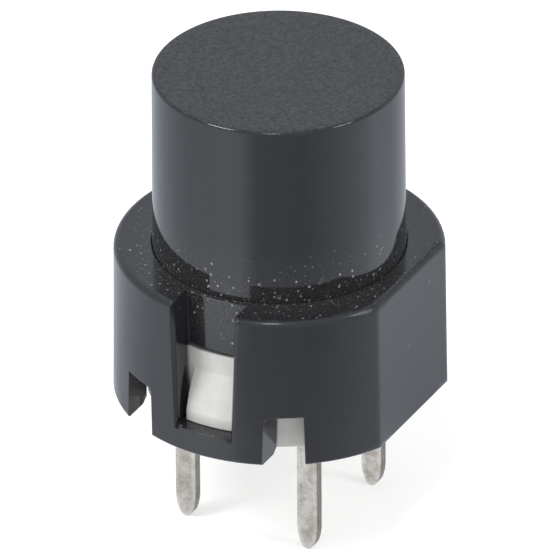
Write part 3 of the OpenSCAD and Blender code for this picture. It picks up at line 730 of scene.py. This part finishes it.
def make_pin(node):
    """A stamped pin: a blade with a pressed border on each broad face, a barb and a tenon."""
    low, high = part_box(node)
    x0, y0 = (low.x + high.x) / 2, (low.y + high.y) / 2
    mesh = bmesh.new()
    loops = []
    face_y = PIN_THICK / 2
    levels = ((-face_y, PIN_COIN), (PIN_COIN_DEEP - face_y, 0),
              (face_y - PIN_COIN_DEEP, 0), (face_y, PIN_COIN))
    for y, inset in levels:
        outline = pin_outline(low.z, high.z, inset)
        loops.append([mesh.verts.new((x0 + x, y0 + y, z)) for x, z in outline])
    mesh.faces.new(loops[0])
    mesh.faces.new(reversed(loops[-1]))
    bands = (HIGHLIT_BORDER_FINISH, BLADE_FINISH, HIGHLIT_BORDER_FINISH)
    for first, second, finish in zip(loops, loops[1:], bands):
        for i in range(len(first)):
            j = (i + 1) % len(first)
            side = mesh.faces.new((first[i], first[j], second[j], second[i]))
            side.material_index = finish
    bmesh.ops.recalc_face_normals(mesh, faces=mesh.faces)
    piece = made_piece(node.replace("pin_", "solder_pin_"), mesh, TINNED_BRONZE)
    # the pressed borders take the lighter tin, a painted highlight
    piece.data.materials.append(HIGHLIT_BORDER_TIN)
    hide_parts(node)
    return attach(piece, "housing")


# ---- Finishes of the CAD model's own nodes, replaced ones too ----

FINISH = {
    "cover": COVER_PLASTIC, "button_cap": CAP_PLASTIC, "plunger": PLUNGER_PLASTIC,
    "base": WHITE_PLASTIC, "actuator_pin": WHITE_PLASTIC,
    "return_spring": SPRING_STEEL, "overtravel_spring": SPRING_STEEL,
    "snap_dome": SILVERED_BRONZE, "ring_contact_plate": SILVERED_BRONZE,
    "centre_contact_plate": SILVERED_BRONZE, "centre_contact": SILVERED_BRONZE,
    "retaining_ring": AMBER_PLASTIC,
    "pin_front_left": TINNED_BRONZE, "pin_front_right": TINNED_BRONZE,
    "pin_rear_left": TINNED_BRONZE, "pin_rear_right": TINNED_BRONZE,
}


def dress_nodes():
    """Each node's material, with smooth faces and sharp edges."""
    for name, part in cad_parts.items():
        part.data.materials.clear()
        part.data.materials.append(FINISH[name])
        part.data.shade_smooth()
        part.data.set_sharp_from_angle(angle=SMOOTH_ANGLE)


# ---- Studio ----

FLOOR_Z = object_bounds()[0][2]
FLOOR_HALF = 3.0
FLOOR_COLOUR = 0.8
FLOOR_GLOW = 0.5              # added where the camera sees the floor, so that it reads white
WORLD_LIGHT = 0.6             # the light from all round
WORLD_SEEN = 1.0              # and how bright it is behind the object
WORLD_MIRRORED = 0.70         # and in glossy surfaces
WHITE = (1, 1, 1)
MIRRORED_TINT = (0.94, 1.0, 1.1)

# How bright the floor glows for glossy rays only: a painted reflection, which the glossy sides show.
# It is fixed to the object's surroundings, with its angles in degrees round from VIEW_AZIMUTH:
# brighter to both sides, and darker in front and behind, which is painted shade in the reflection.
# Far glow shows in the button, and near glow in the cover.
FAR_PAPER_GLOW = ((-180, 0.70), (-140, 0.95), (-85, 1.10), (-46, 1.50), (-33, 1.46), (-18, 0.70),
             (22, 0.62), (50, 0.96), (92, 1.44), (115, 0.98), (160, 0.70), (180, 0.70))
NEAR_PAPER_GLOW = ((-180, 0.62), (-112, 0.74), (-80, 1.00), (-45, 1.50), (-27, 1.40), (-16, 0.88),
              (10, 0.70), (50, 1.07), (68, 1.20), (105, 0.80), (180, 0.62))
BRIGHTEST_PAPER = 1.5         # the highest level above, which a colour ramp holds as 1
PAPER_LEVEL = 0.9             # scales all of these
FAR_R, NEAR_R = 25 * MM, 14 * MM      # where far paper starts, and where near paper ends
UNDER_R = 9 * MM              # the paper under the object, which its pins mirror
UNDER_LEVEL = 1.06

# Lamps: azimuth and elevation in degrees, distance and size in metres, and power in watts.
LAMPS = (("key", -40, 52, 0.4, 0.13, 0.6),
         ("front", 20, 62, 0.4, 0.06, 0.14),
         ("fill", 95, 42, 0.5, 0.14, 0.36))
LAMP_AIM = Vector((0, 0, 4 * MM))


def ray_is(n, *kinds):
    """1 for a ray of one of these kinds."""
    path = n.add("LightPath")
    value = path.outputs["Is " + kinds[0] + " Ray"]
    for kind in kinds[1:]:
        value = n.math("MAXIMUM", value, path.outputs["Is " + kind + " Ray"])
    return value


def flat_sheet(name, corners):
    """A studio surface with these four corners, which isn't part of the object."""
    mesh = bpy.data.meshes.new(name)
    mesh.from_pydata(corners, [], [(0, 1, 2, 3)])
    sheet = bpy.data.objects.new(name, mesh)
    bpy.context.scene.collection.objects.link(sheet)
    return sheet


def paper_glow_by_angle(n, around, levels):
    """A level for each direction from the object's axis, as a share of BRIGHTEST_PAPER."""
    ramp = n.add("ValToRGB", Fac=around)
    stops = ramp.color_ramp.elements
    while len(stops) < len(levels):
        stops.new(0.5)
    for stop, (angle, level) in zip(stops, levels):
        stop.position = 0.5 + angle / 360
        stop.color = grey(level / BRIGHTEST_PAPER)
    return ramp.outputs[0]


def painted_paper_reflection(n):
    """The floor's glow for glossy rays: a painted reflection, by direction and distance from the
    axis.
    """
    turned = n.add("Mapping", Vector=n.place)
    turned.inputs["Rotation"].default_value = (0, 0, math.radians(90 - VIEW_AZIMUTH))
    around = n.add("TexGradient", {"gradient_type": "RADIAL"}, Vector=turned.outputs[0])
    around = around.outputs["Fac"]
    distance = n.add("VectorMath", {"operation": "LENGTH"})
    n.put(distance.inputs[0], n.place)
    distance = distance.outputs["Value"]
    how_far = n.remap(distance, NEAR_R, FAR_R)
    near = paper_glow_by_angle(n, around, NEAR_PAPER_GLOW)
    far = paper_glow_by_angle(n, around, FAR_PAPER_GLOW)
    both = n.mix(how_far, near, far)
    outside = n.remap(distance, UNDER_R, NEAR_R)
    level = n.mix(outside, grey(UNDER_LEVEL / BRIGHTEST_PAPER), both)
    level = n.math("MULTIPLY", level, BRIGHTEST_PAPER * PAPER_LEVEL)
    return n.add("Emission", Color=(*MIRRORED_TINT, 1), Strength=level).outputs[0]


def make_floor():
    """A white floor that holds the object's shadow, reads white where it is seen, and glows for
    glossy rays as a painted reflection.
    """
    s = FLOOR_HALF
    floor = flat_sheet("floor", [(x, y, FLOOR_Z) for x, y in ((-s, -s), (s, -s), (s, s), (-s, s))])
    n = Nodes("floor")
    diffuse = n.add("BsdfDiffuse", Color=grey(FLOOR_COLOUR))
    seen = ray_is(n, "Camera", "Transmission")
    glow = n.add("Emission", Strength=n.math("MULTIPLY", seen, FLOOR_GLOW))
    both = n.add("AddShader")
    n.put(both.inputs[0], diffuse.outputs[0])
    n.put(both.inputs[1], glow.outputs[0])
    mix = n.add("MixShader", Fac=ray_is(n, "Glossy"))
    n.put(mix.inputs[1], both.outputs[0])
    n.put(mix.inputs[2], painted_paper_reflection(n))
    n.put(n.out.inputs[0], mix.outputs[0])
    floor.data.materials.append(n.material)


def make_world():
    """Soft light from all round, which reads white behind the object."""
    world = bpy.data.worlds.new("world")
    bpy.context.scene.world = world
    world.use_nodes = True
    tree = world.node_tree
    tree.nodes.clear()
    out = tree.nodes.new("ShaderNodeOutputWorld")
    path = tree.nodes.new("ShaderNodeLightPath")
    skies = ((None, WHITE, WORLD_LIGHT), ("Is Glossy Ray", MIRRORED_TINT, WORLD_MIRRORED),
             ("Is Transmission Ray", WHITE, WORLD_SEEN), ("Is Camera Ray", WHITE, WORLD_SEEN))
    last = None
    for ray, colour, level in skies:
        background = tree.nodes.new("ShaderNodeBackground")
        background.inputs["Color"].default_value = (*colour, 1)
        background.inputs["Strength"].default_value = level
        if ray is None:
            last = background
            continue
        mix = tree.nodes.new("ShaderNodeMixShader")
        tree.links.new(path.outputs[ray], mix.inputs[0])
        tree.links.new(last.outputs[0], mix.inputs[1])
        tree.links.new(background.outputs[0], mix.inputs[2])
        last = mix
    tree.links.new(last.outputs[0], out.inputs[0])


def soft_light(name, azimuth, elevation, distance, size, power):
    """A round area lamp that is aimed at the object."""
    towards = direction(azimuth, elevation)
    data = bpy.data.lights.new(name, "AREA")
    data.shape = "DISK"
    data.size = size
    data.energy = power
    lamp = bpy.data.objects.new(name, data)
    bpy.context.scene.collection.objects.link(lamp)
    lamp.location = LAMP_AIM + towards * distance
    lamp.rotation_mode = "QUATERNION"
    lamp.rotation_quaternion = towards.to_track_quat("Z", "Y")


dress_nodes()
make_cover()
make_cap()
make_plunger()
for pin_node in PIN_NODES:
    make_pin(pin_node)
make_camera()
make_world()
make_floor()
for lamp_values in LAMPS:
    soft_light(*lamp_values)
bpy.context.scene.view_settings.view_transform = "Standard"
